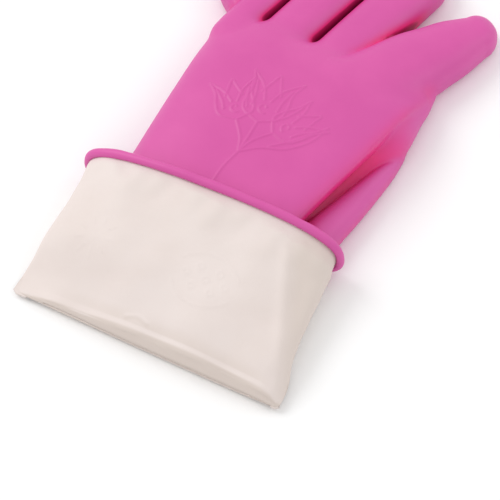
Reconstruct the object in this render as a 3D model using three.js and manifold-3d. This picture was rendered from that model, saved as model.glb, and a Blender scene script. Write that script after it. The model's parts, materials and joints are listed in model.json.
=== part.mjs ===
// A household rubber glove for the left hand, lying palm down with its cuff turned back.
// Millimetres. +Y runs from the cuff to the fingertips, +X to the thumb's side, +Z up.
// The glove is one dipped sheet of two coats, a coloured skin over a pale lining. It is built
// here as hollow sections that meet at the places where the empty glove bends.
import * as THREE from "three";
import { mergeVertices } from "three/addons/utils/BufferGeometryUtils.js";
import Module from "manifold-3d";

const wasm = await Module();
wasm.setup();

// The sheet
const SKIN = 0.7;
const LINING = 0.6;
const GAP = 0.3;
const COATS = SKIN + GAP + LINING;

// The origin is under the middle of the bounding box, on the surface that the glove lies on
const MIDDLE_X = -21.75;
const MIDDLE_Y = 58.65;

// Sides of a section, and how square it is: below 1 is fuller than an ellipse
const AROUND = 20;
const AROUND_DIGIT = 14;
const FULLNESS = 0.8;
const WAIST = 0.42; // height of a section's widest line, as a share of its height
const BELLY = 1.3; // how far the lower half would reach if the table did not flatten it

// Wrist: its bending line crosses the glove here, and it bends this many degrees each way
const WRIST_X = -20;
const WRIST_Y = 30;
const WRIST_Z = 16;
const WRIST_BEND = 30;
const WRIST_WIDTH = 150; // room across the whole glove

// Turned-back cuff
const FOLD_Y = -79;
const LIP_DEPTH = 2.4;
const BEAD_Y = 3.5;
const BEAD_RADIUS = 2.4;
const BEAD_LIFT = 1.7; // keeps the rolled bead's underside on the table
const BEAD_SLANT = -3; // the bead lies a little further up the hand on the thumb's side
const BEAD_STEPS = 40;
const BEAD_SIDES = 7;

// Clearance on each side of a bending line, measured on its axis
const HINGE_CLEARANCE = 0.6;
const SIDE_ROOM = 0.5; // the space is this much wider than the digit on each side
const PIVOT_SHARE = 0.36; // height of a digit's bending line, as a share of the digit's height
// Heights that lie outside the glove, where the spaces at the bending lines begin and end
const BELOW = -4;
const ABOVE = 42;

// Rounding of a fingertip: degrees of turn at which it has a section, and how far its
// underside rises off the table, as a share of its height
const TIP_TURNS = [30, 55, 76];
const TIP_RISE = 0.3;

// Each digit: root is on its middle line, heading is degrees from +Y towards +X, and knuckle
// and middle_joint are the distances of its two bending lines from the root.
// stations are [distance, half width, height].
const DIGITS = {
  little: {
    root: [-73, 116.5], heading: -26, length: 60, knuckle: 18, middleJoint: 38,
    stations: [[-9, 5.5, 14], [4, 7.6, 16.5], [30, 8.3, 16], [52, 7.8, 14]],
    knuckleRange: [-20, 60], middleRange: [-5, 80],
  },
  ring: {
    root: [-66.6, 113], heading: 12.5, length: 78, knuckle: 20, middleJoint: 48,
    stations: [[-10, 8, 21], [2, 9.3, 21], [40, 9.2, 18.5], [68, 8.6, 15.5]],
    knuckleRange: [-20, 60], middleRange: [-5, 80],
  },
  middle: {
    root: [-43.1, 112], heading: 12.2, length: 86, knuckle: 20, middleJoint: 51,
    stations: [[-20, 13, 24], [0, 13.2, 22.5], [44, 12.8, 19.5], [75, 11.2, 16.5]],
    knuckleRange: [-20, 60], middleRange: [-5, 80],
  },
  index: {
    root: [-14.8, 112], heading: 13.2, length: 84, knuckle: 29, middleJoint: 54,
    stations: [[-20, 13, 24], [0, 13.5, 22.5], [40, 13.3, 19.5], [69, 12.4, 17]],
    knuckleRange: [-20, 60], middleRange: [-5, 80],
  },
  thumb: {
    root: [13.8, 117.2], heading: 32.7, length: 65, knuckle: 22, middleJoint: 40,
    stations: [[-24, 18, 28], [0, 17.2, 26], [22, 17.5, 22.5], [54, 11.6, 17]],
    knuckleRange: [-15, 45], middleRange: [-10, 60],
  },
};

// Stations of the hand: [y, left, right, top, bottom]
const HAND = [
  [20, -77.5, 27, 33, 3],
  [34, -76.5, 31, 34, 0],
  [60, -76, 35, 35, 0],
  [85, -76, 38, 33, 0],
  [102, -76, 38, 28, 0],
  [110, -75.5, 37, 23, 0],
  [113.5, -73, 34, 16, 1],
];

// The heel of the thumb, a low swell under the edge of the back of the hand: [y, x, half width, height]
const HEEL = [
  [20, 30.5, 7.5, 19],
  [45, 35, 7.5, 18.5],
  [75, 37, 7.5, 18.5],
  [100, 36.5, 8, 19.5],
  [122, 32, 8.5, 19],
];

// The sleeve inside the turned-back cuff, and the cuff around it: [y, left, right, top, bottom]
const SLEEVE = [
  [FOLD_Y, -88.5, 56.5, 12.5, 2.2],
  [-55, -87, 51, 19, 2.2],
  [-25, -84, 44, 26, 2.2],
  [-4, -81.5, 39.5, 30.5, 5.6],
  [10, -79, 37.5, 32, 5.6],
  [20, -77.5, 37.5, 33, 3],
  [WRIST_Y + 6, -76.5, 39, 34, 0],
];
const CUFF = [
  [FOLD_Y, -91.5, 60, 15, 0],
  [-55, -91, 56, 22.5, 0],
  [-25, -91, 51, 30, 0],
  [-8, -91, 48, 34, BEAD_LIFT],
  [BEAD_Y - BEAD_RADIUS - GAP, -91, 46.5, 35.5, BEAD_LIFT],
];

const radians = THREE.MathUtils.degToRad;

// A closed mesh as a manifold-3d solid
function toSolid(geometry) {
  geometry.deleteAttribute("normal");
  geometry.deleteAttribute("uv");
  const merged = mergeVertices(geometry, 1e-4);
  return new wasm.Manifold(new wasm.Mesh({
    numProp: 3,
    vertProperties: merged.getAttribute("position").array,
    triVerts: new Uint32Array(merged.index.array),
  }));
}

function toGeometry(solid) {
  const { vertProperties, triVerts } = solid.getMesh();
  const geometry = new THREE.BufferGeometry();
  geometry.setAttribute("position", new THREE.BufferAttribute(vertProperties, 3));
  geometry.setIndex(new THREE.BufferAttribute(triVerts, 1));
  geometry.computeVertexNormals();
  return geometry;
}

// A point of a section: an oval whose underside the table flattens
function sectionPoint(station, angle, radius, inset) {
  const { x, y, half, top, bottom, heading } = station;
  const low = bottom + inset;
  const waist = low + WAIST * (top - inset - low);
  const side = Math.cos(angle);
  const rise = Math.sin(angle);
  const across = radius * (half - inset) * Math.sign(side) * Math.abs(side) ** FULLNESS;
  const reach = rise > 0 ? top - inset - waist : BELLY * (waist - low);
  const up = radius * reach * Math.sign(rise) * Math.abs(rise) ** FULLNESS;
  return [
    x + across * Math.cos(heading),
    y - across * Math.sin(heading),
    Math.max(low, waist + up),
  ];
}

// A closed solid through a row of sections, made by reshaping a cylinder.
// inset makes it smaller all round, and the ends move by startShift and endShift along it.
function loft(stations, inset = 0, startShift = 0, endShift = 0, around = AROUND) {
  const last = stations.length - 1;
  const geometry = new THREE.CylinderGeometry(1, 1, 1, around, last);
  const position = geometry.getAttribute("position");
  const moved = stations.map((station, i) => {
    const shift = i === 0 ? startShift : i === last ? endShift : 0;
    return {
      ...station,
      x: station.x + shift * Math.sin(station.heading),
      y: station.y + shift * Math.cos(station.heading),
    };
  });
  for (let i = 0; i < position.count; i++) {
    const station = moved[Math.round((position.getY(i) + 0.5) * last)];
    const radius = Math.hypot(position.getX(i), position.getZ(i)) > 0.5 ? 1 : 0;
    const angle = Math.atan2(position.getZ(i), position.getX(i));
    position.setXYZ(i, ...sectionPoint(station, angle, radius, inset));
  }
  return toSolid(geometry);
}

const crosswise = ([y, left, right, top, bottom], heading = 0) => ({
  x: (left + right) / 2, y, half: (right - left) / 2, top, bottom, heading,
});

// The section at y on the straight run through two sections
function sectionAt(a, b, y) {
  const share = (y - a.y) / (b.y - a.y);
  const mixed = { y };
  for (const key of ["x", "half", "top", "bottom", "heading"]) {
    mixed[key] = THREE.MathUtils.lerp(a[key], b[key], share);
  }
  return mixed;
}

// The same row of sections with its first, or its last, moved to y
const startedAt = (stations, y) => [sectionAt(stations[0], stations[1], y), ...stations.slice(1)];
const endedAt = (stations, y) => [
  ...stations.slice(0, -1), sectionAt(stations.at(-2), stations.at(-1), y)];

// Sections of a digit from one distance to another, with a round end at the fingertip
function digitStations(digit, from, to) {
  const heading = radians(digit.heading);
  const at = (distance, half, height) => ({
    x: digit.root[0] + distance * Math.sin(heading),
    y: digit.root[1] + distance * Math.cos(heading),
    half, top: height, bottom: 0, heading,
  });
  const table = digit.stations;
  const between = (distance) => {
    const k = Math.max(1, table.findIndex((row) => row[0] >= distance));
    const [a, b] = [table[k - 1], table[k]];
    const share = (distance - a[0]) / (b[0] - a[0]);
    return at(distance, THREE.MathUtils.lerp(a[1], b[1], share), THREE.MathUtils.lerp(a[2], b[2], share));
  };
  const inside = table.filter((row) => row[0] > from + 1 && row[0] < to - 1).map((row) => at(...row));
  const list = [between(from), ...inside];
  if (to < digit.length) return [...list, between(to)];
  const [start, half, height] = table[table.length - 1];
  for (const turn of TIP_TURNS) {
    const shrink = Math.cos(radians(turn));
    const distance = start + (digit.length - start) * Math.sin(radians(turn));
    const end = at(distance, half * shrink, height * (0.5 + 0.5 * shrink));
    end.bottom = height * TIP_RISE * (1 - shrink);
    list.push(end);
  }
  return list;
}

// The space left open at a bending line, so that the sections turn without touching.
// Below the axis it opens to the curling limit, and above it to the limit the other way.
function bendSpace(pivot, heading, width, [backLimit, curlLimit], low, high) {
  const curl = Math.tan(radians(curlLimit / 2)) * (pivot.z - low);
  const back = Math.tan(radians(Math.abs(backLimit) / 2)) * (high - pivot.z);
  const outline = new THREE.Shape([
    new THREE.Vector2(-HINGE_CLEARANCE - curl, low),
    new THREE.Vector2(HINGE_CLEARANCE + curl, low),
    new THREE.Vector2(HINGE_CLEARANCE, pivot.z),
    new THREE.Vector2(HINGE_CLEARANCE + back, high),
    new THREE.Vector2(-HINGE_CLEARANCE - back, high),
    new THREE.Vector2(-HINGE_CLEARANCE, pivot.z),
  ]);
  const geometry = new THREE.ExtrudeGeometry(outline, { depth: width, bevelEnabled: false });
  // The outline's x runs along the glove, its y upwards, and its depth across
  const along = new THREE.Vector3(Math.sin(heading), Math.cos(heading), 0);
  const up = new THREE.Vector3(0, 0, 1);
  const across = new THREE.Vector3().crossVectors(along, up);
  geometry.applyMatrix4(new THREE.Matrix4().makeBasis(along, up, across));
  geometry.translate(
    pivot.x - (across.x * width) / 2,
    pivot.y - (across.y * width) / 2,
    0,
  );
  return toSolid(geometry);
}

// The two bending lines of a digit, as points on its middle line
function pivotsOf(digit) {
  const heading = radians(digit.heading);
  return [
    [digit.knuckle, digit.knuckleRange],
    [digit.middleJoint, digit.middleRange],
  ].map(([distance, range]) => {
    const here = digitStations(digit, distance, distance + 2)[0];
    return { distance, range, heading, half: here.half, x: here.x, y: here.y, z: PIVOT_SHARE * here.top };
  });
}

const digitSpaces = (digit) => pivotsOf(digit).map((pivot) =>
  bendSpace(pivot, pivot.heading, 2 * (pivot.half + SIDE_ROOM), pivot.range, BELOW, ABOVE));

const wristSpace = bendSpace(
  { x: WRIST_X, y: WRIST_Y, z: WRIST_Z }, 0, WRIST_WIDTH, [-WRIST_BEND, WRIST_BEND], BELOW, ABOVE,
);

const RUN_OUT = 2; // a hollow runs out this far through each open end

// The hand with the stubs of its digits, smaller all round by inset
function handSolid(inset) {
  const over = inset > 0 ? RUN_OUT : 0;
  const bodies = [
    loft(HAND.map((row) => crosswise(row)), inset, 0, -inset),
    loft(HEEL.map(([y, x, half, height]) => ({
      x, y, half, top: height, bottom: 0, heading: 0,
    })), inset, 0, -inset),
    ...Object.values(DIGITS).map((digit) =>
      loft(digitStations(digit, digit.stations[0][0], digit.knuckle), inset, inset, over, AROUND_DIGIT)),
  ];
  return bodies.reduce((whole, body) => whole.add(body));
}

// The free part of a digit, past its knuckle
function digitSolid(digit, inset) {
  const over = inset > 0 ? -RUN_OUT : 0;
  return loft(digitStations(digit, digit.knuckle, digit.length), inset, over, -inset, AROUND_DIGIT);
}

const largest = (solid) => solid.decompose().sort((a, b) => b.volume() - a.volume())[0];

const COAT_LAYERS = {
  skin: [0, SKIN],
  lining: [SKIN + GAP, COATS],
};

const MATERIALS = {
  skin: new THREE.MeshStandardMaterial({ color: 0xe85fb4, roughness: 0.42, metalness: 0 }),
  lining: new THREE.MeshStandardMaterial({ color: 0xefddd3, roughness: 0.6, metalness: 0 }),
};

const glove = new THREE.Group();
glove.position.set(-MIDDLE_X, -MIDDLE_Y, 0);

function addPiece(name, solid, coat) {
  const mesh = new THREE.Mesh(toGeometry(solid), MATERIALS[coat]);
  mesh.name = name;
  glove.add(mesh);
}

function makeHand(coat) {
  const [outer, inner] = COAT_LAYERS[coat];
  let shell = handSolid(outer).subtract(handSolid(inner)).subtract(wristSpace);
  for (const digit of Object.values(DIGITS)) shell = shell.subtract(digitSpaces(digit)[0]);
  addPiece(`hand_${coat}`, largest(shell), coat);
}

function makeDigit(name, digit, coat) {
  const [outer, inner] = COAT_LAYERS[coat];
  const [knuckleSpace, middleSpace] = digitSpaces(digit);
  const shell = digitSolid(digit, outer).subtract(digitSolid(digit, inner))
    .subtract(knuckleSpace).subtract(middleSpace);
  const heading = radians(digit.heading);
  const reach = (solid) => {
    const { min, max } = solid.boundingBox();
    return ((min[0] + max[0]) * Math.sin(heading) + (min[1] + max[1]) * Math.cos(heading)) / 2;
  };
  const sections = shell.decompose().sort((a, b) => b.volume() - a.volume()).slice(0, 2);
  const [base, tip] = sections.sort((a, b) => reach(a) - reach(b));
  addPiece(`${name}_base_${coat}`, base, coat);
  addPiece(`${name}_tip_${coat}`, tip, coat);
}

function makeSleeve() {
  const stations = SLEEVE.map((row) => crosswise(row));
  const starts = { skin: COATS + GAP, lining: LINING + GAP };
  for (const [coat, [outer, inner]] of Object.entries(COAT_LAYERS)) {
    const shell = loft(startedAt(stations, FOLD_Y + starts[coat]), outer)
      .subtract(loft(startedAt(stations, FOLD_Y), inner));
    addPiece(`sleeve_${coat}`, largest(shell.subtract(wristSpace)), coat);
  }
}

// The turned-back cuff is inside out: its lining faces outwards, and both coats turn in at the
// fold as a lip around the mouth. The lining's lip is a section of its own.
function makeTurnedCuff() {
  const stations = CUFF.map((row, i) =>
    crosswise(row, i === CUFF.length - 1 ? radians(BEAD_SLANT) : 0));
  const sleeve = SLEEVE.map((row) => crosswise(row));
  const openEnd = endedAt(stations, stations.at(-1).y + RUN_OUT);
  const cuff = (outer, inner, mouthInset) =>
    loft(startedAt(stations, FOLD_Y + outer), outer)
      .subtract(loft(startedAt(openEnd, FOLD_Y + inner), inner))
      .subtract(loft(startedAt(sleeve.slice(0, 2), FOLD_Y - 1), mouthInset));
  const lining = cuff(0, LINING, COATS);
  const lipEnd = FOLD_Y + LIP_DEPTH;
  addPiece("cuff_lip", largest(lining.trimByPlane([0, -1, 0], -lipEnd)), "lining");
  addPiece("turned_cuff_lining", largest(lining.trimByPlane([0, 1, 0], lipEnd + GAP)), "lining");
  addPiece("turned_cuff_skin", largest(cuff(LINING + GAP, COATS, SKIN)), "skin");
}

function makeBead() {
  const ring = { ...crosswise(CUFF[CUFF.length - 1], radians(BEAD_SLANT)), y: BEAD_Y };
  const points = Array.from({ length: BEAD_STEPS }, (_, i) =>
    new THREE.Vector3(...sectionPoint(ring, (2 * Math.PI * i) / BEAD_STEPS, 1, COATS / 2)));
  const path = new THREE.CatmullRomCurve3(points, true);
  const tube = new THREE.TubeGeometry(path, BEAD_STEPS, BEAD_RADIUS, BEAD_SIDES, true);
  addPiece("cuff_bead", toSolid(tube), "skin");
}

for (const coat of Object.keys(COAT_LAYERS)) {
  makeHand(coat);
  for (const [name, digit] of Object.entries(DIGITS)) makeDigit(name, digit, coat);
}
makeSleeve();
makeTurnedCuff();
makeBead();

export default glove;
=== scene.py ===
"""A pink household rubber glove for the left hand, lying palm down, its cuff turned back so that
the pale inside shows and the rolled edge lies near the wrist.

The fingers, the thumb and the hand are one smooth skin, found as the surface of a distance
function and then cut into the pieces that move. The cuff is a row of sections.
Shapes are worked out in millimetres in the glove's own plan: +Y from the cuff to the fingertips,
+X to the thumb's side, +Z up. place() turns them into the frame's metres.
"""

import json
import math

import bmesh
import bpy
import numpy as np
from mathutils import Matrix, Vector


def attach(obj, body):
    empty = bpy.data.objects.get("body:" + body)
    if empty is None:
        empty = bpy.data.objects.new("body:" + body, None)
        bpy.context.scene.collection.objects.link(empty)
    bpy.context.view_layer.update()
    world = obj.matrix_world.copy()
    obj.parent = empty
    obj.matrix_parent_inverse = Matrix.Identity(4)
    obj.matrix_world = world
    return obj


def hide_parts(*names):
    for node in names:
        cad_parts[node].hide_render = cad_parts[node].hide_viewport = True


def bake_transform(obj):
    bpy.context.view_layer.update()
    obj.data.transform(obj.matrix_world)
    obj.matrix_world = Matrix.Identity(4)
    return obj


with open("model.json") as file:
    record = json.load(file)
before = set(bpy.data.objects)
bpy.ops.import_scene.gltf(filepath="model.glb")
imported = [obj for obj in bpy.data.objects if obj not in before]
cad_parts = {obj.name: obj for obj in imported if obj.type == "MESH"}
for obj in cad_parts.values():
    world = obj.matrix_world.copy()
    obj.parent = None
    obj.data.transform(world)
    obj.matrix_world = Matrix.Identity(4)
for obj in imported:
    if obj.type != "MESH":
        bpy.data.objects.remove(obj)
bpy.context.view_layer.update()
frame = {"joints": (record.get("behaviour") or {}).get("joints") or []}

MM = 0.001
JOINTS = {joint["name"]: joint for joint in frame["joints"]}

# ---------------------------------------------------------------------------- the glove's plan

# The wrist's bending line crosses the plan here
WRIST_AT = np.array([-20.0, 30.0, 16.0])
ORIGIN = np.array(JOINTS["wrist"]["pos_m"]) - WRIST_AT * MM

# The sheet: a coloured coat over a pale one
SKIN = 0.7
LINING_OUTER = 1.0
LINING_INNER = 1.6

# Sections of the hand. edge is the height of its right edge, as a share of top
HAND = {
    "y": [-8, 10, 34, 60, 85, 100, 112, 120],
    "left": [-74.5, -74.5, -75, -75.5, -76, -75.5, -74.5, -73],
    "right": [20.5, 21, 26, 32, 36.3, 38.3, 39.8, 40],
    "top": [30.5, 31.5, 33, 33.5, 31, 28, 24, 22],
    "edge": [0.75, 0.76, 0.78, 0.79, 0.79, 0.73, 0.56, 0.45],
}
# The line across the glove at which the hand starts to round off between its digits
HAND_END = {"x": [-70, -50, -25, 8, 30], "y": [110, 109, 107, 108, 114]}
HAND_CAP = 10.0  # length of that rounding
HAND_SQUARE = 2.5  # squareness of a section: 2 is an ellipse
FOLD_SQUARE = 2.2
LEFT_WAIST = 0.42  # height of the left side's widest line, as a share of the hand's height
BELLY = 1.3  # the underside's bulge below the widest line, as a share of that line's height
UNDERCUT = 21.0  # how far the hand's right edge reaches down before it turns in under itself

# The side of the hand under its overhanging right edge, which slopes out to the thumb, and the
# heel of the thumb, a loose fold that lies against it and runs out in a point
SIDE = {
    "y": [-8, 30, 45, 60, 72, 80, 86, 96, 104, 112, 122],
    "middle": [4, 5, 9.2, 14.8, 19.6, 23.5, 24.5, 24, 23, 22.6, 21],
    "half": [19] * 11,
    "top": [12, 12, 13, 15.5, 19.5, 22.8, 24.5, 24, 21.8, 19, 16],
}
HEEL = {
    "y": [-8, 20, 40, 52, 66, 75, 80],
    "middle": [28.7, 29.7, 33.9, 36.4, 39.1, 40.7, 41.5],
    "half": [10.6, 9.8, 7.9, 6.4, 4.5, 2.9, 1.7],
    "top": [16.5, 16.5, 16, 15.5, 14, 11.5, 9.5],
}
FOLD_CAP = 7.0  # length of the rounding at the far end of both

# Each digit, with distances from its root; its place and heading come from its joints.
# bends: where the skin starts and ends bending at the knuckle, then at the middle joint.
# cut: where its two pieces start. stations: [distance, half width, height]
DIGITS = {
    "little": {"length": 60, "knuckle": 18, "bends": (15, 28, 29, 47), "cut": (12, 28.5),
               "stations": [[-9, 4.5, 13], [4, 5.5, 15], [16, 7.6, 16], [30, 8.3, 16],
                            [52, 7.8, 14]]},
    "ring": {"length": 78, "knuckle": 20, "bends": (18.5, 37, 38, 60), "cut": (15, 37.5),
             "stations": [[-10, 8, 21], [2, 9, 21], [40, 8.8, 18.5], [68, 8.4, 15.5]]},
    "middle": {"length": 86, "knuckle": 20, "bends": (19, 38, 38.5, 62), "cut": (15, 38.2),
               "stations": [[-20, 13, 24], [5, 13.4, 22.5], [44, 13.2, 19.5], [75, 12.2, 16.5]]},
    "index": {"length": 84, "knuckle": 29, "bends": (35.5, 47.5, 48, 65), "cut": (31, 47.7),
              "stations": [[-20, 13, 24], [2, 13.2, 22.8], [24, 13.8, 21.2], [40, 14.1, 19.8],
                           [69, 13.7, 17.2]]},
    "thumb": {"length": 66, "knuckle": 22, "bends": (18.5, 32, 32.5, 51), "cut": (15, 32.2),
              "stations": [[-24, 18.5, 28], [0, 18.9, 26], [20, 18.6, 23], [30, 16.8, 21.6],
                           [40, 15.2, 20.5], [55, 10.9, 17.5]]},
}
DIGIT_SQUARE = 2.6
DIGIT_WAIST = 0.42  # height of a digit's widest line, as a share of its height
THUMB_LEAN = -0.06  # the thumb leans to the fingers, by this share of the way along it
LITTLE_TUCK = 4.0  # the little finger's root is tucked in beside the ring finger by this much
DIGIT_START = 8.0  # rounding of a digit's hidden end, inside the hand

# How softly the parts run into one another
WEB = 5.5  # digits into the hand
CROTCH = 0.7  # digits into each other
CREASE = 1.6  # side and heel into the hand
TABLE = 3.0  # the underside into the sides

# Grid that the skin is found on, turned to lie along the fingers, and closer in their gaps
GRID_TURN = math.radians(12.7)
GRID_ACROSS = (-150, 52)
GRID_ALONG = (-34, 196)
GRID_TOP = 40
PITCH = 1.2
GAP_PITCH = 0.25
GAP_WIDTH = 2.4
GAP_FADE = 4.0  # the pitch grows to its full size over this
GAP_AT = 30.0  # the gaps' places are taken this far from the fingers' roots
SKIN_START = -6.0  # the skin's open end, under the rolled edge
AT_START = 0.05  # points this near to the open end lie on it


def place(points):
    """Plan millimetres to the frame's metres."""
    return np.asarray(points, float) * MM + ORIGIN


def smoothstep(t):
    t = np.clip(t, 0, 1)
    return t * t * (3 - 2 * t)


def curve(t, knots, values):
    """A smooth curve through the knots, level beyond both ends."""
    knots, values = np.asarray(knots, float), np.asarray(values, float)
    slopes = np.gradient(values, knots)
    t = np.clip(t, knots[0], knots[-1])
    i = np.clip(np.searchsorted(knots, t) - 1, 0, len(knots) - 2)
    width = knots[i + 1] - knots[i]
    s = (t - knots[i]) / width
    return (
        (2 * s**3 - 3 * s**2 + 1) * values[i]
        + (s**3 - 2 * s**2 + s) * width * slopes[i]
        + (3 * s**2 - 2 * s**3) * values[i + 1]
        + (s**3 - s**2) * width * slopes[i + 1]
    )


def smooth_min(a, b, k):
    h = np.clip(k - np.abs(a - b), 0, None) / k
    return np.minimum(a, b) - h * h * k / 4


def smooth_max(a, b, k):
    return -smooth_min(-a, -b, k)


def ripple(x, y, wavelength, seed, waves=6):
    """Smooth, fixed unevenness between about -1 and 1."""
    r = np.random.default_rng(seed)
    total = np.zeros_like(x)
    for _ in range(waves):
        turn = r.uniform(0, 2 * math.pi)
        size = 2 * math.pi / (wavelength * r.uniform(0.7, 1.5))
        phase = r.uniform(0, 2 * math.pi)
        total += np.sin((x * math.cos(turn) + y * math.sin(turn)) * size + phase)
    return total / waves**0.5


def oval(u, v, half, reach, square, along=0.0, cap=1.0):
    """Distance to a squarish oval tube. u and v are shares of its half width and reach, and
    along how far past its end a point is, as a share of cap."""
    u, v = np.abs(u), np.abs(v)
    g = (u**square + v**square) ** (1 / square) + 1e-6
    slope_u = u ** (square - 1) / half * g ** (1 - square)
    slope_v = v ** (square - 1) / reach * g ** (1 - square)
    whole = np.sqrt(g * g + along * along)
    slope = np.sqrt((g * slope_u) ** 2 + (g * slope_v) ** 2 + (along / cap) ** 2) / whole
    return (whole - 1) / (slope + 1e-3)


def hand_distance(x, y, z):
    left = curve(y, HAND["y"], HAND["left"])
    right = curve(y, HAND["y"], HAND["right"])
    top = curve(y, HAND["y"], HAND["top"])
    edge = curve(y, HAND["y"], HAND["edge"])
    half = (right - left) / 2
    u = (x - (right + left) / 2) / half
    side = smoothstep((u + 1) / 2)
    waist = top * (LEFT_WAIST + (edge - LEFT_WAIST) * side)
    below = BELLY * waist * (1 - side) + UNDERCUT * side
    reach = np.where(z > waist, top - waist, below)
    end = curve(x, HAND_END["x"], HAND_END["y"])
    along = np.clip((y - end) / HAND_CAP, 0, None)
    return oval(u, (z - waist) / reach, half, reach, HAND_SQUARE, along, HAND_CAP)


def fold_distance(table, x, y, z):
    middle = curve(y, table["y"], table["middle"])
    half = curve(y, table["y"], table["half"])
    top = curve(y, table["y"], table["top"])
    waist = top * LEFT_WAIST
    reach = np.where(z > waist, top - waist, BELLY * waist)
    along = np.clip((y - table["y"][-1]) / FOLD_CAP, 0, None)
    return oval((x - middle) / half, (z - waist) / reach, half, reach, FOLD_SQUARE, along, FOLD_CAP)


def digit_facts(name):
    """Root, heading and knuckle height of a digit, from its joints."""
    knuckle = JOINTS[f"{name}_knuckle"]
    axis = knuckle["axis"]
    heading = math.atan2(axis[1], -axis[0])
    anchor = (np.array(knuckle["pos_m"]) - ORIGIN) / MM
    along = np.array([math.sin(heading), math.cos(heading)])
    root = anchor[:2] - DIGITS[name]["knuckle"] * along
    return root, heading, anchor


FACTS = {name: digit_facts(name) for name in DIGITS}


def digit_place(name, x, y):
    """Distance along a digit and across it."""
    root, heading, _ = FACTS[name]
    dx, dy = x - root[0], y - root[1]
    sin, cos = math.sin(heading), math.cos(heading)
    return dx * sin + dy * cos, dx * cos - dy * sin


def digit_distance(name, x, y, z):
    digit = DIGITS[name]
    t, u = digit_place(name, x, y)
    if name == "thumb":
        u = u - THUMB_LEAN * np.clip(t, 0, None)
    if name == "little":
        u = u - LITTLE_TUCK * (1 - smoothstep(t / digit["knuckle"]))
    table = np.array(digit["stations"], float)
    half = curve(t, table[:, 0], table[:, 1])
    top = curve(t, table[:, 0], table[:, 2])
    waist = DIGIT_WAIST * top
    reach = np.where(z > waist, top - waist, BELLY * waist)
    first, last = table[0, 0], table[-1, 0]
    cap = digit["length"] - last
    past = np.where(t > last, (t - last) / cap, np.clip(first - t, 0, None) / DIGIT_START)
    depth = np.where(t > last, cap, DIGIT_START)
    return oval(u / half, (z - waist) / reach, half, reach, DIGIT_SQUARE, past, depth)


def skin_distance(points):
    """Distance from the glove's skin, below zero inside."""
    x, y, z = points[..., 0], points[..., 1], points[..., 2]
    digits = digit_distance("thumb", x, y, z)
    for name in ["index", "middle", "ring", "little"]:
        digits = smooth_min(digits, digit_distance(name, x, y, z), CROTCH)
    whole = smooth_min(hand_distance(x, y, z), digits, WEB)
    whole = smooth_min(whole, fold_distance(SIDE, x, y, z), CREASE)
    whole = smooth_min(whole, fold_distance(HEEL, x, y, z), CREASE)
    whole = smooth_max(whole, -z, TABLE)
    return np.maximum(whole, SKIN_START - y)


def gradient(points, step=0.05):
    """Slope of the distance at each point."""
    out = np.zeros_like(points)
    for axis in range(3):
        move = np.zeros(3)
        move[axis] = step
        out[:, axis] = (skin_distance(points + move) - skin_distance(points - move)) / (2 * step)
    return out


def settle(points, rounds=5, most=0.8):
    """Moves each point onto the skin."""
    for _ in range(rounds):
        slope = gradient(points)
        size = np.maximum((slope**2).sum(1), 0.05)
        move = slope * (skin_distance(points) / size)[:, None]
        length = np.linalg.norm(move, axis=1, keepdims=True)
        points = points - move * np.minimum(1, most / np.maximum(length, 1e-9))
    return points


def graded(low, high, pitch, fine_at):
    """Numbers from low to high, about pitch apart, and close together near fine_at."""
    out = [low]
    while out[-1] < high:
        near = min((abs(out[-1] + pitch / 2 - f) for f in fine_at), default=pitch * 9)
        grow = np.clip((near - GAP_WIDTH / 2) / GAP_FADE, 0, 1)
        out.append(out[-1] + GAP_PITCH + (pitch - GAP_PITCH) * grow)
    return np.array(out)


def gap_lines():
    """Where the narrow gaps between neighbouring fingers lie, across the turned grid."""
    out = []
    for one, other in [("ring", "middle"), ("middle", "index")]:
        edges = []
        for name, side in [(one, 1), (other, -1)]:
            root, heading, _ = FACTS[name]
            table = np.array(DIGITS[name]["stations"], float)
            half = curve(GAP_AT, table[:, 0], table[:, 1])
            x = root[0] + GAP_AT * math.sin(heading) + side * half * math.cos(heading)
            y = root[1] + GAP_AT * math.cos(heading) - side * half * math.sin(heading)
            edges.append(x * math.cos(GRID_TURN) - y * math.sin(GRID_TURN))
        out.append(sum(edges) / 2)
    return out


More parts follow.
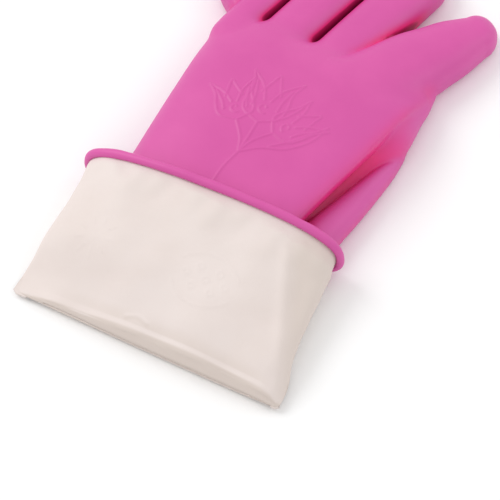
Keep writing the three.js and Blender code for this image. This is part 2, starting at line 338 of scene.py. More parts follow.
def find_skin(pitch):
    """Vertices and quads of the skin, by surface nets."""
    us = graded(*GRID_ACROSS, pitch, gap_lines())
    ts = np.arange(*GRID_ALONG, pitch)
    zs = np.arange(-1.5 * pitch, GRID_TOP, pitch)
    u, t, z = np.meshgrid(us, ts, zs, indexing="ij")
    sin, cos = math.sin(GRID_TURN), math.cos(GRID_TURN)
    grid = np.stack([u * cos + t * sin, t * cos - u * sin, z], axis=-1)
    value = skin_distance(grid)
    inside = value < 0
    cells = tuple(n - 1 for n in value.shape)
    total = np.zeros(cells + (3,))
    count = np.zeros(cells)
    corner = [slice(0, -1), slice(1, None)]
    edges = []
    for axis in range(3):
        low = [slice(None)] * 3
        high = [slice(None)] * 3
        low[axis], high[axis] = corner
        a, b = value[tuple(low)], value[tuple(high)]
        crossed = inside[tuple(low)] != inside[tuple(high)]
        share = np.where(crossed, a / np.where(a == b, 1, a - b), 0)[..., None]
        point = grid[tuple(low)] * (1 - share) + grid[tuple(high)] * share
        edges.append((crossed, inside[tuple(low)]))
        others = [k for k in range(3) if k != axis]
        for i in range(2):
            for j in range(2):
                pick = [slice(None)] * 3
                pick[others[0]] = corner[i]
                pick[others[1]] = corner[j]
                total += np.where(crossed[tuple(pick)][..., None], point[tuple(pick)], 0)
                count += crossed[tuple(pick)]
    used = count > 0
    number = np.full(cells, -1)
    number[used] = np.arange(used.sum())
    points = total[used] / count[used][:, None]
    quads = []
    for axis, (crossed, low_inside) in enumerate(edges):
        others = [(axis + 1) % 3, (axis + 2) % 3]
        where = np.argwhere(crossed)
        whole = np.ones(len(where), bool)
        for k in others:
            whole &= (where[:, k] > 0) & (where[:, k] < cells[k])
        where = where[whole]
        ring = []
        for i, j in [(-1, -1), (0, -1), (0, 0), (-1, 0)]:
            cell = where.copy()
            cell[:, others[0]] += i
            cell[:, others[1]] += j
            ring.append(number[tuple(cell.T)])
        quad = np.stack(ring, axis=1)
        turn = ~low_inside[tuple(where.T)]
        quad[turn] = quad[turn][:, ::-1]
        quads.append(quad)
    return points, np.concatenate(quads)


# ---------------------------------------------------------------------------- raised flower

FLOWER_HEIGHT = 0.42
FLOWER_HALF_WIDTH = 1.1  # of its lines
STEM_FOOT = (-26.0, 9.0)
STEM_BEND = (-25.5, 19.0)
STEM_FORK = (-23.0, 30.0)
STALK_BEND = -3  # how far a stalk bows out, for a tulip that leans right over
# Each tulip: foot, heading in degrees, length, half width at its belly, spread of its tips
TULIPS = [
    ((-33.0, 46.5), -33, 25, 9.5, 11.0),
    ((-23.0, 50.0), -6, 31, 11.0, 13.5),
    ((-13.0, 47.5), 38, 26, 9.5, 10.5),
]
LEAF_TIP = (10, 64)
LEAF_LOWER = [(-14, 37), (-3, 42), (6, 52)]
LEAF_UPPER = [(-11, 39.5), (-2, 48), (4, 56)]
FLOWER_AREA = (-64.0, 14.0, 6.0, 88.0)  # low x, high x, low y, high y
FLOWER_ABOVE = 20.0  # the back of the hand lies higher than this


def bend(points, steps=14):
    """A smooth line through a few points."""
    points = np.array(points, float)
    knots = np.arange(len(points))
    t = np.linspace(0, len(points) - 1, steps * (len(points) - 1) + 1)
    return np.stack([curve(t, knots, points[:, k]) for k in range(2)], axis=1)


def tulip_lines(foot, heading, length, belly, spread):
    """A tulip of two outer petals, a middle one and a heart, as lines in the plan."""
    turn = math.radians(heading)
    along = np.array([math.sin(turn), math.cos(turn)])
    across = np.array([math.cos(turn), -math.sin(turn)])

    def at(side, share):
        return np.array(foot) + across * side + along * share * length

    lines = []
    for s in (-1, 1):
        lines.append(bend([at(0, 0), at(s * belly * 0.85, 0.16), at(s * belly, 0.42),
                           at(s * belly * 0.95, 0.7), at(s * spread, 1.0)]))
        lines.append(bend([at(s * spread, 1.0), at(s * belly * 0.5, 0.74),
                           at(s * belly * 0.16, 0.46)]))
        lines.append(bend([at(s * belly * 0.62, 0.3), at(s * belly * 0.66, 0.5),
                           at(s * belly * 0.86, 0.78)]))
    lines.append(bend([at(-belly * 0.45, 0.62), at(-belly * 0.2, 0.86), at(0, 1.02),
                       at(belly * 0.2, 0.86), at(belly * 0.45, 0.62)]))
    turns = np.linspace(0.2 * math.pi, 1.6 * math.pi, 20)
    size = 0.15 * belly * (0.5 + turns / math.pi)
    heart = at(0, 0.3)
    lines.append(heart + size[:, None] * (np.cos(turns)[:, None] * across
                                          + np.sin(turns)[:, None] * along))
    return lines


def flower_lines():
    lines = [bend([STEM_FOOT, STEM_BEND, STEM_FORK])]
    for foot, heading, length, belly, spread in TULIPS:
        middle = (np.array(STEM_FORK) + np.array(foot)) / 2
        side = np.array([math.sin(math.radians(heading)), 0]) * STALK_BEND
        lines.append(bend([STEM_FORK, middle + side, foot]))
        lines += tulip_lines(foot, heading, length, belly, spread)
    # A long leaf beside the lowest tulip
    lines.append(bend([STEM_FORK, *LEAF_LOWER, LEAF_TIP]))
    lines.append(bend([*LEAF_UPPER, LEAF_TIP]))
    return lines


def line_height(x, y, lines, half_width):
    """1 on the lines, falling smoothly to 0 at half_width from them."""
    nearest = np.full(len(x), 1e9)
    for line in lines:
        for a, b in zip(line[:-1], line[1:]):
            d = b - a
            share = np.clip(((x - a[0]) * d[0] + (y - a[1]) * d[1]) / (d @ d + 1e-9), 0, 1)
            away = np.hypot(x - a[0] - share * d[0], y - a[1] - share * d[1])
            nearest = np.minimum(nearest, away)
    return 1 - smoothstep(nearest / half_width)


def in_flower(points):
    low_x, high_x, low_y, high_y = FLOWER_AREA
    return (
        (points[:, 0] > low_x) & (points[:, 0] < high_x)
        & (points[:, 1] > low_y) & (points[:, 1] < high_y) & (points[:, 2] > FLOWER_ABOVE)
    )


# ---------------------------------------------------------------------------- meshes


def new_object(name, points, faces, material):
    mesh = bpy.data.meshes.new(name)
    mesh.from_pydata(place(points).tolist(), [], [list(map(int, f)) for f in faces])
    mesh.polygons.foreach_set("use_smooth", [True] * len(mesh.polygons))
    mesh.materials.append(material)
    mesh.update()
    made = bpy.data.objects.new(name, mesh)
    bpy.context.scene.collection.objects.link(made)
    return made


def vertex_normals(points, faces):
    """Area-weighted normals. faces is a list of lists."""
    mesh = bpy.data.meshes.new("normals")
    mesh.from_pydata(points.tolist(), [], [list(map(int, f)) for f in faces])
    mesh.update()
    out = np.zeros(len(points) * 3, np.float32)
    mesh.vertex_normals.foreach_get("vector", out)
    bpy.data.meshes.remove(mesh)
    return out.reshape(-1, 3).astype(float)


def rim_edges(faces):
    """Edges that only one face has, in that face's order."""
    seen = {}
    for face in faces:
        for a, b in zip(face, list(face[1:]) + [face[0]]):
            seen[(a, b)] = True
    return [e for e in seen if (e[1], e[0]) not in seen]


def thick_piece(name, outer, inner, normals, faces, material):
    """A closed sheet between two surfaces that share their faces. normals are the outer one's."""
    used = sorted({int(i) for f in faces for i in f})
    renumber = {old: new for new, old in enumerate(used)}
    faces = [[renumber[int(i)] for i in f] for f in faces]
    n = len(used)
    points = np.concatenate([outer[used], inner[used]])
    body = faces + [[i + n for i in reversed(f)] for f in faces]
    body += [[b, a, a + n, b + n] for a, b in rim_edges(faces)]
    made = new_object(name, points, body, material)
    both = np.concatenate([normals[used], -normals[used]])
    made.data.normals_split_custom_set_from_vertices(both.tolist())
    return made


WRIST_PIECE_END = 50.0

# Painted shade: how deep in a fold the skin lies, from how soon it is met again at these distances
# outwards
FOLD_REACHES = (3.0, 6.0, 10.0)
FOLD_LEAST = 0.12
FOLD_RANGE = 0.6
SPREAD_ROUNDS = 4
PAINTED_DARKENING_FROM = 0.86  # painted shade: a fold's colour darkens from this depth on, as it does between the fingers
PAINTED_DARKEST = 0.45  # down to this share of it
HEEL_SHARE = 0.35  # the heel's skin keeps this share of the painted shade
ON_IT = 0.3  # skin nearer to a fold's surface than this belongs to it
FACE_STEEP = 0.25  # the hand's edge above the heel gets painted shade where its normal rises less than this
FACE_RANGE = 0.4
FACE_RIGHT_OF = 15.0
FACE_ABOVE = 3.0
FACE_FADES = (58.0, 102.0)  # it fades out between these, towards the thumb


def skin_regions(points, faces):
    """The piece that each face belongs to."""
    middle = np.array([points[list(f)].mean(0) for f in faces])
    x, y, z = middle.T
    names = list(DIGITS)
    distance = np.array([digit_distance(name, x, y, z) for name in names])
    nearest = distance.argmin(0)
    region = np.where(y < WRIST_PIECE_END, "wrist", "hand").astype(object)
    for k, name in enumerate(names):
        t, _ = digit_place(name, x, y)
        first, second = DIGITS[name]["cut"]
        own = (nearest == k) & (t > first)
        region[own & (t <= second)] = f"{name}_base"
        region[own & (t > second)] = f"{name}_tip"
    return region


def bend_digit(made):
    """Bakes a digit piece's placement into its mesh."""
    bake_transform(made)


def bend_wrist(made):
    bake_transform(made)


def painted_crease_shade(points, normals):
    """How deep in a fold each point lies: 0 in the open, 1 where the skin closes over it. It sets
    the painted shade of the skin's colour.
    """
    shut = np.zeros(len(points))
    for reach in FOLD_REACHES:
        shut += 1 - skin_distance(points + normals * reach) / reach
    depth = smoothstep((shut / len(FOLD_REACHES) - FOLD_LEAST) / FOLD_RANGE)
    # The heel's own skin gets little painted shade up to its edge, and the side behind it gets
    # painted shade all over
    x, y, z = points.T
    on_heel = fold_distance(HEEL, x, y, z) < ON_IT
    on_side = fold_distance(SIDE, x, y, z) < ON_IT
    steep = smoothstep((FACE_STEEP - normals[:, 2]) / FACE_RANGE)
    under_edge = steep * smoothstep(x / FACE_RIGHT_OF)
    behind = np.where(on_side, 1.0, under_edge) * (z > FACE_ABOVE)
    behind *= 1 - smoothstep((y - FACE_FADES[0]) / (FACE_FADES[1] - FACE_FADES[0]))
    at_side = np.minimum(np.maximum(depth, behind), PAINTED_DARKENING_FROM)
    depth = np.where(y < FACE_FADES[1], at_side, depth)
    return np.where(on_heel, depth * HEEL_SHARE, depth)


def spread(values, faces, rounds):
    """Evens out values at points, by the mean of the faces round each point, again and again."""
    corners = np.array([i for face in faces for i in face])
    sizes = np.array([len(face) for face in faces])
    owners = np.repeat(np.arange(len(faces)), sizes)
    meeting = np.bincount(corners, minlength=len(values))
    for _ in range(rounds):
        of_face = np.bincount(owners, weights=values[corners]) / sizes
        around = np.bincount(corners, weights=of_face[owners], minlength=len(values))
        values = around / np.maximum(meeting, 1)
    return values


def give_painted_shade(made, values):
    """Stores how deep a piece's painted shade is at each of its points."""
    shade = made.data.attributes.new("fold", "FLOAT", "POINT")
    shade.data.foreach_set("value", values)


def make_skin(coat, points, kept, outer_depth, inner_depth, material):
    """One coat of the whole hand, cut into the pieces that move."""
    base, faces = refine_flower(points, kept) if coat == "skin" else (points, kept)
    smooth = gradient(base)
    smooth /= np.linalg.norm(smooth, axis=1, keepdims=True)
    rise = np.zeros(len(base))
    if coat == "skin":
        top = in_flower(base)
        rise[top] = FLOWER_HEIGHT * line_height(
            base[top, 0], base[top, 1], flower_lines(), FLOWER_HALF_WIDTH)
    outer = base + smooth * (rise - outer_depth)[:, None]
    inner = base - smooth * inner_depth
    normals = vertex_normals(outer, faces)
    region = skin_regions(base, faces)
    # Painted shade in the creases, under the hand's edge and between the fingers
    depth = spread(painted_crease_shade(base, smooth), faces, SPREAD_ROUNDS)
    for piece in sorted(set(region)):
        mine = [f for f, r in zip(faces, region) if r == piece]
        made = thick_piece(f"{piece}_{coat}_sheet", outer, inner, normals, mine, material)
        used = sorted({int(i) for f in mine for i in f})
        give_painted_shade(made, np.tile(depth[used], 2))
        if piece == "hand":
            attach(made, "hand")
            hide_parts(f"hand_{coat}")
        elif piece == "wrist":
            bend_wrist(made)
            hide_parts(f"sleeve_{coat}")
        else:
            bend_digit(made)
            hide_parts(f"{piece}_{coat}")


def make_coats():
    points, quads = find_skin(PITCH)
    points = settle(points)
    at_start = np.abs(points[:, 1] - SKIN_START) < AT_START
    kept = [f for f in quads.tolist() if not at_start[f].all()]
    make_skin("skin", points, kept, 0.0, SKIN, PINK)
    make_skin("lining", points, kept, LINING_OUTER, LINING_INNER, PALE)


def refine_flower(points, faces):
    """Splits the faces under the raised flower, so that its lines are shape."""
    mesh = bmesh.new()
    vertices = [mesh.verts.new(p) for p in points]
    for face in faces:
        mesh.faces.new([vertices[i] for i in face])
    chosen = in_flower(points)
    mesh.verts.index_update()
    edges = [e for e in mesh.edges if all(chosen[v.index] for v in e.verts)]
    bmesh.ops.subdivide_edges(mesh, edges=edges, cuts=2, use_grid_fill=True)
    mesh.verts.index_update()
    out = np.array([v.co[:] for v in mesh.verts])
    polygons = [[v.index for v in f.verts] for f in mesh.faces]
    mesh.free()
    return settle(out, rounds=3), polygons


# ---------------------------------------------------------------------------- the cuff

CUFF = {
    "y": [-75, -66, -55, -25, -8, 1],
    "left": [-91.5, -91, -90.2, -89.6, -90.2, -91],
    "right": [59, 57.2, 54.5, 50, 48, 46.5],
    "top": [14.5, 19.5, 24, 31, 34, 35.5],
}
SLEEVE = {
    "y": [-75, -55, -25, -4, 10],
    "left": [-88, -86.5, -82, -77, -75],
    "right": [55, 50.5, 44, 38.5, 36.5],
    "top": [12, 18.5, 26, 30.5, 31.5],
}
FOLD_Y = -75.0
BEAD_Y = 3.5
BEAD_RADIUS = 2.4
BEAD_SLANT = math.radians(3)
CUFF_SQUARE = 2.5
CUFF_WAIST = 0.42
CORNER_SAG = 0.5
SAG_FROM = (-93, 105)  # the sag is whole at this x, and gone this much further right
SAG_ALONG = (-42, 33)  # it starts at this y, and is whole this much nearer to the fold
AROUND = 420
CUFF_ROWS = 104
COAT_ROWS = 74
LIP_ROWS = 14
LIP_REACH = 4.6  # how far the lips stand forward of the fold
LIP_CORNER = 0.7  # at the corners they stand forward by this share of it
LIP_CORNER_WIDTH = 2.5
SLIT = {
    "x": [-92, -78, -62, -44, -20, 30, 52, 61],
    "z": [2.2, 3.4, 4.2, 3.4, 2.8, 3.0, 3.0, 2.4],
}
SLIT_GAP = 0.2  # half the height of the closed mouth
CORNER_GAP = (0.6, -83, 9)  # it gapes by this much more, here, over this width
SLIT_MIDDLE = -15.75
SLIT_NARROWING = 0.985  # the sleeve behind the mouth is this much narrower
SLEEVE_OPENS = 34.0  # and opens to its full height over this
BEHIND_LIPS = 0.1  # it starts this far behind them
FRONT_SQUARE = 3.2  # how boxy the front of the fold is, from its shoulder down to the mouth
# By how much the corners are pressed together, over what width, and over what length
PINCH = {"left": (0.8, 26.0), "right": (0.5, 12.0)}
PINCH_LENGTH = 22.0
# The soft ridge from the bead to the right corner
RIDGE = {"y": [-80, -45, -8], "x": [57, 42, 25]}
INNER_ROWS = 30
SECTION_STEPS = 3001
BOTTOM_SOFTNESS = 1.2  # how softly a section's sides run into its flat underside
CUFF_LIFT = 1.7  # the turned-back cuff's underside rises by this under the rolled edge
LIFT_ALONG = (-25, 17)  # the rise starts at this y, and is whole this much further on
SLANT_MIDDLE = -22
SLANT_LENGTH = 60
PALE_THICKNESS = 0.6
COAT_DEPTHS = (0.9, 1.5)  # the coloured coat lies between these, under the pale surface
# The unevenness of the turned-back cuff. Waves: height, wavelength, seed
LONG_WAVE = (0.55, 46, 3)
SHORT_WAVE = (0.16, 17, 4)
PUCKER = (0.42, 13, 5)
PUCKER_STRETCH = 0.35  # the puckers are drawn out along the cuff
PUCKERS_ALONG = (-26, 22)
RIDGE_RISE = 0.9
RIDGE_WIDTH = 3.4
RIDGE_ALONG = (4, 14)
DENT_RISE = -1.1
DENT_BEYOND = 9  # from the ridge
DENT_WIDTH = 6.0
DENT_ALONG = (-4, 20)
HOLLOW_RISE = -1.2
HOLLOW_AT = (-70, -3)
HOLLOW_SIZE = (7, 5)
HOLLOW_SLANT = 0.6
UNDER_BEAD_WIDTH = 6  # the cuff is drawn in under the rolled edge, over this
UNDER_BEAD_DEPTH = 0.8


def section(table, y, count, inset=0.0):
    """Points round a section, evenly spaced, from the left side over the top."""
    left, right, top = (float(curve(y, table["y"], table[k])) for k in ("left", "right", "top"))
    half, middle = (right - left) / 2 - inset, (right + left) / 2
    low = inset
    waist = low + CUFF_WAIST * (top - inset - low)
    angle = np.linspace(math.pi, -math.pi, SECTION_STEPS)
    power = 2 / CUFF_SQUARE
    side, rise = np.cos(angle), np.sin(angle)
    x = middle + half * np.sign(side) * np.abs(side) ** power
    reach = np.where(rise > 0, top - inset - waist, BELLY * (waist - low))
    z = waist + reach * np.sign(rise) * np.abs(rise) ** power
    z = smooth_max(z, np.full_like(z, low), BOTTOM_SOFTNESS)
    length = np.concatenate([[0], np.cumsum(np.hypot(np.diff(x), np.diff(z)))])
    at = np.linspace(0, length[-1], count, endpoint=False)
    return np.stack([np.interp(at, length, x), np.interp(at, length, z)], axis=1)


def slit_height(x):
    """Height of the closed mouth, across the fold."""
    return curve(x, SLIT["x"], SLIT["z"])


def slit_gap(x):
    """Half the height of the closed mouth, which gapes a little at the left corner."""
    more, middle, width = CORNER_GAP
    return SLIT_GAP + more * np.exp(-(((x - middle) / width) ** 2))


def corner_sag(x, y):
    """Share of its height that the cuff keeps: towards the left corner it lies down flat."""
    to_left = 1 - smoothstep((x - SAG_FROM[0]) / SAG_FROM[1])
    return 1 - CORNER_SAG * to_left * smoothstep((SAG_ALONG[0] - y) / SAG_ALONG[1])


def pinched(ring, y):
    """Heights of a ring of the cuff, with its corners pressed together towards the fold."""
    x, z = ring[:, 0], ring[:, 1]
    shut = slit_height(x)
    for side, edge in (("left", x - x.min()), ("right", x.max() - x)):
        share, width = PINCH[side]
        near_fold = smoothstep((FOLD_Y + PINCH_LENGTH - y) / PINCH_LENGTH)
        near = (1 - smoothstep(edge / width)) * near_fold
        z = shut + (z - shut) * (1 - share * near)
    return z


def cuff_unevenness(points, upper):
    """How far the turned-back cuff stands off its plain shape, in millimetres."""
    x, y = points[:, 0], points[:, 1]
    soft = LONG_WAVE[0] * ripple(x, y, *LONG_WAVE[1:])
    soft = soft + SHORT_WAVE[0] * ripple(x, y, *SHORT_WAVE[1:])
    near_bead = smoothstep((y - PUCKERS_ALONG[0]) / PUCKERS_ALONG[1])
    puckers = PUCKER[0] * near_bead * ripple(x, y * PUCKER_STRETCH, *PUCKER[1:])
    # A soft ridge where the top turns down to the thumb's side, a dent beyond it, and a hollow
    # beside the bead at the left
    ridge_x = np.interp(y, RIDGE["y"], RIDGE["x"])
    ridge = RIDGE_RISE * np.exp(-(((x - ridge_x) / RIDGE_WIDTH) ** 2))
    ridge = ridge * smoothstep((RIDGE_ALONG[0] - y) / RIDGE_ALONG[1])
    dent = DENT_RISE * np.exp(-(((x - ridge_x - DENT_BEYOND) / DENT_WIDTH) ** 2))
    dent = dent * smoothstep((DENT_ALONG[0] - y) / DENT_ALONG[1])
    across = x - HOLLOW_AT[0]
    along = y - HOLLOW_AT[1] + HOLLOW_SLANT * across
    hollow = HOLLOW_RISE * np.exp(
        -((across / HOLLOW_SIZE[0]) ** 2) - (along / HOLLOW_SIZE[1]) ** 2)
    under_bead = 1 - smoothstep((BEAD_Y - BEAD_RADIUS - y) / UNDER_BEAD_WIDTH)
    uneven = (soft + puckers + ridge + dent + hollow) * upper
    return uneven * (1 - under_bead) - UNDER_BEAD_DEPTH * under_bead


def cuff_rows():
    """Rows of points of the pale side: over the turned-back cuff, round the lips of the mouth
    and on into the sleeve."""
    rows = []
    ys = np.linspace(BEAD_Y - 1.0, FOLD_Y, CUFF_ROWS)
    for y in ys:
        ring = section(CUFF, y, AROUND)
        lift = CUFF_LIFT * smoothstep((y - LIFT_ALONG[0]) / LIFT_ALONG[1])
        slanted = smoothstep((y - FOLD_Y) / SLANT_LENGTH)
        slant = math.tan(BEAD_SLANT) * (ring[:, 0] - SLANT_MIDDLE) * slanted
        ring[:, 1] *= corner_sag(ring[:, 0], y)
        z = np.maximum(pinched(ring, y), lift)
        rows.append(np.stack([ring[:, 0], y + slant, z], axis=1))
    fold = rows[-1].copy()
    waist = CUFF_WAIST * float(curve(FOLD_Y, CUFF["y"], CUFF["top"]))
    above = np.where(fold[:, 2] > waist, 1.0, -1.0)
    inwards = np.minimum(fold[:, 0] - fold[:, 0].min(), fold[:, 0].max() - fold[:, 0])
    near = smoothstep(inwards / LIP_CORNER_WIDTH)
    forward = LIP_REACH * (LIP_CORNER + (1 - LIP_CORNER) * near)
    slit = fold.copy()
    slit[:, 2] = slit_height(fold[:, 0]) + above * slit_gap(fold[:, 0]) * near
    for k in range(1, LIP_ROWS + 1):
        turn = 0.5 * math.pi * k / LIP_ROWS
        row = slit + (fold - slit) * math.cos(turn) ** (2 / FRONT_SQUARE)
        row[:, 1] = fold[:, 1] - forward * math.sin(turn) ** (2 / FRONT_SQUARE)
        rows.append(row)
    mouth = rows[-1].copy()
    inner_ys = np.linspace(FOLD_Y - LIP_REACH, SKIN_START, INNER_ROWS + 1)[1:]
    for y in inner_ys:
        ring = section(SLEEVE, y, AROUND, inset=LINING_INNER)
        share = smoothstep((y - FOLD_Y) / SLEEVE_OPENS)
        inside = np.stack([ring[:, 0], np.full(AROUND, y), ring[:, 1]], axis=1)
        lips = mouth.copy()
        lips[:, 0] = SLIT_MIDDLE + (lips[:, 0] - SLIT_MIDDLE) * SLIT_NARROWING
        lips[:, 1] = np.maximum(y, mouth[:, 1] + BEHIND_LIPS)
        rows.append(lips * (1 - share) + inside * share)
    return np.array(rows)


def grid_faces(rows, around):
    """Quads of rows of points that close round on themselves."""
    faces = []
    for j in range(rows - 1):
        for i in range(around):
            k = (i + 1) % around
            faces.append([j * around + i, (j + 1) * around + i, (j + 1) * around + k,
                          j * around + k])
    return faces


RING_AT = np.array([-64.0, -44.0])
RING_STROKES = 9
RING_RADII = (6.5, 10.5)
MEDALLION_AT = np.array([-2.0, -43.0])
DIAMOND = 2.1
DIAMOND_PITCH = 5.4
ARC_RADIUS = 21
ARC_DROP = 7.5
ARC_SPAN = (0.22 * math.pi, 0.78 * math.pi)
ARC_STEPS = 20


def mark_lines():
    """Faint generic marks that show reversed on the pale side: a ring of strokes and a
    medallion of diamonds between two arcs."""
    lines = []
    for k in range(RING_STROKES):
        turn = 2 * math.pi * k / RING_STROKES
        out = np.array([math.cos(turn), math.sin(turn)])
        lines.append(np.array([RING_AT + out * radius for radius in RING_RADII]))
    diamond = DIAMOND * np.array([[1, 0], [0, 1], [-1, 0], [0, -1], [1, 0]])
    for row in range(-1, 2):
        for column in range(-2, 3):
            if (row + column) % 2 == 0:
                lines.append(MEDALLION_AT + DIAMOND_PITCH * np.array([column, row]) + diamond)
    turns = np.linspace(*ARC_SPAN, ARC_STEPS)
    for side in (1, -1):
        arc = np.stack([np.cos(turns) * ARC_RADIUS,
                        side * (np.sin(turns) * ARC_RADIUS - ARC_DROP)], axis=1)
        lines.append(MEDALLION_AT + arc)
    return lines


MARK_HEIGHT = 0.24
MARK_HALF_WIDTH = 0.8
MARKS_FACE_UP = 0.3  # they lie where the normal rises more than this
UPPER_FROM = (4, 6)  # the unevenness starts at this height, and is whole this much higher
CRESCENT = bend([(-30.5, -72.6), (-25.0, -70.9), (-18.5, -72.4)])
CRESCENT_HEIGHT = 0.28
CRESCENT_HALF_WIDTH = 1.5
FRONT_SHADE_REACH = 7  # the fold's front gets painted shade up to this far behind it
FRONT_FACES = (0.2, 0.5)  # where its normal points forward more than the first; whole at their sum
# Painted shade down the slope at the thumb side
SLOPE_PAINTED_SHADE = 0.8
SLOPE_BEFORE = 4  # the slope's shade starts this far before the ridge
SLOPE_WIDTH = 14


def painted_cuff_shade(points, normals):
    """How deep the pale rubber's painted shade is: on the front of the fold, where the sheet is
    doubled, and down the slope at the thumb side."""
    near_fold = smoothstep((FOLD_Y + FRONT_SHADE_REACH - points[:, 1]) / FRONT_SHADE_REACH)
    faces_front = smoothstep((-normals[:, 1] - FRONT_FACES[0]) / FRONT_FACES[1])
    front = PAINTED_DARKENING_FROM * faces_front * near_fold
    ridge_x = np.interp(points[:, 1], RIDGE["y"], RIDGE["x"])
    slope = SLOPE_PAINTED_SHADE * smoothstep((points[:, 0] - ridge_x + SLOPE_BEFORE) / SLOPE_WIDTH)
    return np.maximum(front, slope)


def make_cuff(pale, pink):
    rows = cuff_rows()
    count, around = rows.shape[:2]
    points = rows.reshape(-1, 3)
    faces = grid_faces(count, around)
    base_normals = vertex_normals(points, faces)
    on_cuff = np.repeat(np.arange(count) < CUFF_ROWS + LIP_ROWS // 2, around)
    height = points[:, 2]
    upper = np.where(on_cuff, smoothstep((height - UPPER_FROM[0]) / UPPER_FROM[1]), 0)
    rise = cuff_unevenness(points, upper)
    marked = on_cuff & (base_normals[:, 2] > MARKS_FACE_UP)
    marks = line_height(points[marked, 0], points[marked, 1], mark_lines(), MARK_HALF_WIDTH)
    rise[marked] += MARK_HEIGHT * marks
    crescent = line_height(
        points[marked, 0], points[marked, 1], [CRESCENT], CRESCENT_HALF_WIDTH)
    rise[marked] += CRESCENT_HEIGHT * crescent
    outer = points + base_normals * rise[:, None]
    normals = vertex_normals(outer, faces)
    inner = outer - normals * PALE_THICKNESS
    made = thick_piece("turned_back_cuff", outer, inner, normals, faces, pale)
    # Painted shade on the front of the fold and down the thumb-side slope
    give_painted_shade(made, np.tile(painted_cuff_shade(outer, normals), 2))
    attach(made, "cuff")
    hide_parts("turned_cuff_lining", "cuff_lip")

    # The coloured coat, between the two layers of the turned-back cuff
    step_rows, step_around = 6, 4
    kept = list(range(0, COAT_ROWS, step_rows))
    sparse_outer = outer.reshape(rows.shape)[kept][:, ::step_around].reshape(-1, 3)
    sparse_normals = normals.reshape(rows.shape)[kept][:, ::step_around].reshape(-1, 3)
    sparse_faces = grid_faces(len(kept), around // step_around)
    made = thick_piece(
        "turned_back_cuff_coat",
        sparse_outer - sparse_normals * COAT_DEPTHS[0],
        sparse_outer - sparse_normals * COAT_DEPTHS[1],
        sparse_normals, sparse_faces, pink)
    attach(made, "cuff")
    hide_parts("turned_cuff_skin")


BEAD_STEPS = 420
BEAD_SIDES = 22
BEAD_OUT = 0.6  # its middle line lies this far outside the cuff's section
BEAD_WAVES = [(5, 0.10, 0.4), (11, 0.07, 1.9), (23, 0.04, 3.3)]  # waves round it, size, phase
BEAD_WOBBLE = 0.8
BEAD_SWELL = 0.35
GROOVE_AT = 1.25 * math.pi
GROOVE_DEPTH = 0.5
GROOVE_WIDTH = 0.3


def make_bead(pink):
    """The rolled edge: a tube round the open end of the turned-back cuff, with the groove where
    the roll meets itself."""
    steps, sides = BEAD_STEPS, BEAD_SIDES
    ring = section(CUFF, BEAD_Y, steps, inset=-BEAD_OUT)
    x, z = ring[:, 0], np.maximum(ring[:, 1], BEAD_RADIUS)
    y = BEAD_Y + math.tan(BEAD_SLANT) * (x - SLANT_MIDDLE)
    path = np.stack([x, y, z], axis=1)
    soft = np.zeros(steps)
    round_once = np.linspace(0, 2 * math.pi, steps, endpoint=False)
    for waves, size, phase in BEAD_WAVES:
        soft += size * np.sin(round_once * waves + phase)
    path[:, 1] += BEAD_WOBBLE * soft
    ahead = np.roll(path, -1, axis=0) - np.roll(path, 1, axis=0)
    ahead /= np.linalg.norm(ahead, axis=1, keepdims=True)
    forward = np.array([0.0, 1.0, 0.0])
    out = np.cross(ahead, forward)
    out /= np.linalg.norm(out, axis=1, keepdims=True)
    lengthwise = np.cross(out, ahead)
    points = []
    for k in range(sides):
        turn = 2 * math.pi * k / sides
        from_groove = math.remainder(turn - GROOVE_AT, 2 * math.pi)
        groove = GROOVE_DEPTH * math.exp(-((from_groove / GROOVE_WIDTH) ** 2))
        radius = (BEAD_RADIUS - groove) * (1 + BEAD_SWELL * soft)[:, None]
        points.append(path + radius * (out * math.cos(turn) + lengthwise * math.sin(turn)))
    points = np.stack(points, axis=1).reshape(-1, 3)
    faces = []
    for i in range(steps):
        j = (i + 1) % steps
        for k in range(sides):
            m = (k + 1) % sides
            faces.append([i * sides + k, j * sides + k, j * sides + m, i * sides + m])
    made = new_object("rolled_edge", points, faces, pink)
    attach(made, "cuff")
    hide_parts("cuff_bead")


# ---------------------------------------------------------------------------- materials


def add(nodes, kind, **values):
    node = nodes.new(kind)
    for key, value in values.items():
        setattr(node, key, value)
    return node


LATEX_IOR = 1.52
TONE_RANGE = (0.34, 0.68)  # the noise's range over which one tone drifts into the other
ROUGHNESS_SPREAD = (-0.05, 0.06)
BROAD_BUMP = 0.0008
FINE_BUMP = 0.00012


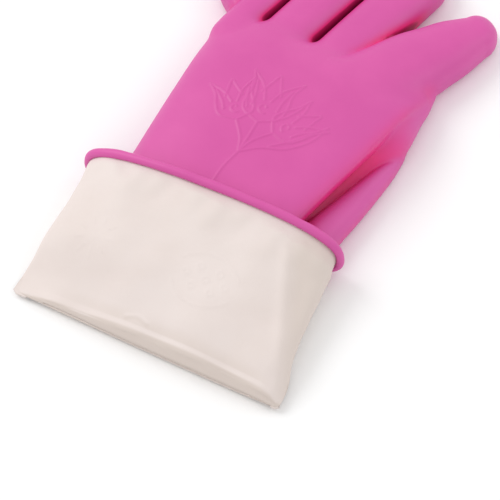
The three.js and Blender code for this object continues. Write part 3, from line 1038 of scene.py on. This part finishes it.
def latex(name, tones, deep, roughness, grain, wrinkle, specular=0.5):
    """Satin rubber. tones are the two colours it drifts between, deep its colour as painted shade
    in a fold, where it darkens further in the deepest folds, and grain and wrinkle the strength of
    its fine and its broad bumps."""
    material = bpy.data.materials.new(name)
    material.use_nodes = True
    nodes, links = material.node_tree.nodes, material.node_tree.links
    shader = nodes["Principled BSDF"]
    shader.inputs["IOR"].default_value = LATEX_IOR
    shader.inputs["Specular IOR Level"].default_value = specular
    place_node = add(nodes, "ShaderNodeTexCoord")

    def noise(scale, detail, rough):
        node = add(nodes, "ShaderNodeTexNoise")
        node.inputs["Scale"].default_value = scale
        node.inputs["Detail"].default_value = detail
        node.inputs["Roughness"].default_value = rough
        links.new(place_node.outputs["Object"], node.inputs["Vector"])
        return node.outputs["Fac"]

    drift = noise(scale=28, detail=4, rough=0.55)
    ramp = add(nodes, "ShaderNodeValToRGB")
    ramp.color_ramp.elements[0].position = TONE_RANGE[0]
    ramp.color_ramp.elements[1].position = TONE_RANGE[1]
    ramp.color_ramp.elements[0].color = (*tones[0], 1)
    ramp.color_ramp.elements[1].color = (*tones[1], 1)
    links.new(drift, ramp.inputs["Fac"])
    # Painted shade: the fold attribute turns the colour to deep, and darker still in the deepest
    # folds
    fold = add(nodes, "ShaderNodeAttribute", attribute_name="fold")
    mix = add(nodes, "ShaderNodeMix", data_type="RGBA")
    painted_shade_ramp = add(nodes, "ShaderNodeValToRGB")
    painted_shade_ramp.color_ramp.elements[0].position = PAINTED_DARKENING_FROM
    painted_shade_ramp.color_ramp.elements[0].color = (*deep, 1)
    painted_shade_ramp.color_ramp.elements[1].color = (*(PAINTED_DARKEST * channel for channel in deep), 1)
    links.new(fold.outputs["Fac"], painted_shade_ramp.inputs["Fac"])
    links.new(painted_shade_ramp.outputs["Color"], mix.inputs["B"])
    links.new(fold.outputs["Fac"], mix.inputs["Factor"])
    links.new(ramp.outputs["Color"], mix.inputs["A"])
    links.new(mix.outputs["Result"], shader.inputs["Base Color"])

    rough = add(nodes, "ShaderNodeMapRange")
    rough.inputs["To Min"].default_value = roughness + ROUGHNESS_SPREAD[0]
    rough.inputs["To Max"].default_value = roughness + ROUGHNESS_SPREAD[1]
    links.new(noise(scale=160, detail=3, rough=0.6), rough.inputs["Value"])
    links.new(rough.outputs["Result"], shader.inputs["Roughness"])

    broad = add(nodes, "ShaderNodeBump")
    broad.inputs["Strength"].default_value = wrinkle
    broad.inputs["Distance"].default_value = BROAD_BUMP
    links.new(noise(scale=90, detail=4, rough=0.5), broad.inputs["Height"])
    fine = add(nodes, "ShaderNodeBump")
    fine.inputs["Strength"].default_value = grain
    fine.inputs["Distance"].default_value = FINE_BUMP
    links.new(noise(scale=2400, detail=2, rough=0.6), fine.inputs["Height"])
    links.new(broad.outputs["Normal"], fine.inputs["Normal"])
    links.new(fine.outputs["Normal"], shader.inputs["Normal"])
    return material


PINK = latex(
    "pink_latex",
    tones=[(0.62, 0.073, 0.332), (0.66, 0.086, 0.355)],
    # painted shade colour in folds, under the hand's edge and between the fingers
    deep=(0.80, 0.008, 0.18),
    roughness=0.46,
    grain=0.35,
    wrinkle=0.10)
PALE = latex(
    "pale_latex",
    tones=[(0.74, 0.648, 0.61), (0.77, 0.683, 0.65)],
    # painted shade colour on the front of the fold and down the thumb-side slope
    deep=(0.665, 0.575, 0.52),
    roughness=0.60,
    grain=0.5,
    wrinkle=0.32,
    specular=0.35)

# ---------------------------------------------------------------------------- make it all

make_coats()
make_cuff(PALE, PINK)
make_bead(PINK)

# ---------------------------------------------------------------------------- studio

AIM = place([0.0, 0.0, 0.0])
TO_CAMERA = Vector((0.2736, -0.504, 0.819)).normalized()
CAMERA_DISTANCE = 5.0
FRAME_WIDTH = 0.25  # metres that the picture takes in, at the glove
SENSOR = 36.0
FLOOR_HALF_SIZE = 6.0
FLOOR_CLEARANCE = 0.0004
FLOOR_COLOUR = (0.96, 0.96, 0.96, 1)
FLOOR_ROUGHNESS = 0.9
SKY_STRENGTH = 0.87
LIGHT_DISTANCE = 2.2
LIGHT_SIZE = 1.3
KEY_POWER = 15
FILL_POWER = 4


def make_camera():
    data = bpy.data.cameras.new("camera")
    data.sensor_width = SENSOR
    data.lens = SENSOR * CAMERA_DISTANCE / FRAME_WIDTH
    camera = bpy.data.objects.new("camera", data)
    camera.location = Vector(AIM) + TO_CAMERA * CAMERA_DISTANCE
    camera.rotation_mode = "QUATERNION"
    camera.rotation_quaternion = (-TO_CAMERA).to_track_quat("-Z", "Y")
    bpy.context.scene.collection.objects.link(camera)
    bpy.context.scene.camera = camera


def make_floor():
    mesh = bpy.data.meshes.new("floor")
    size = FLOOR_HALF_SIZE
    mesh.from_pydata([(-size, -size, 0), (size, -size, 0), (size, size, 0), (-size, size, 0)],
                     [], [(0, 1, 2, 3)])
    material = bpy.data.materials.new("floor")
    material.use_nodes = True
    shader = material.node_tree.nodes["Principled BSDF"]
    shader.inputs["Base Color"].default_value = FLOOR_COLOUR
    shader.inputs["Roughness"].default_value = FLOOR_ROUGHNESS
    mesh.materials.append(material)
    floor = bpy.data.objects.new("floor", mesh)
    floor.location.z = -FLOOR_CLEARANCE
    bpy.context.scene.collection.objects.link(floor)


def make_light(name, direction, distance, size, power):
    data = bpy.data.lights.new(name, "AREA")
    data.shape = "DISK"
    data.size = size
    data.energy = power
    light = bpy.data.objects.new(name, data)
    direction = Vector(direction).normalized()
    light.location = Vector(AIM) + direction * distance
    light.rotation_mode = "QUATERNION"
    light.rotation_quaternion = (-direction).to_track_quat("-Z", "Y")
    bpy.context.scene.collection.objects.link(light)


def make_studio():
    scene = bpy.context.scene
    world = bpy.data.worlds.new("studio")
    world.use_nodes = True
    background = world.node_tree.nodes["Background"]
    background.inputs["Color"].default_value = (1.0, 1.0, 1.0, 1)
    background.inputs["Strength"].default_value = SKY_STRENGTH
    scene.world = world
    scene.view_settings.view_transform = "Standard"
    # The camera's own right, and straight away from it along the floor
    across = Vector((0.879, 0.477, 0))
    away = Vector((-0.477, 0.879, 0))
    up = Vector((0, 0, 1))
    key = -0.75 * across + 0.45 * away + 0.9 * up
    fill = 0.9 * across + 0.1 * away + 0.6 * up
    make_light("key", key, LIGHT_DISTANCE, LIGHT_SIZE, KEY_POWER)
    make_light("fill", fill, LIGHT_DISTANCE, LIGHT_SIZE, FILL_POWER)


make_camera()
make_floor()
make_studio()
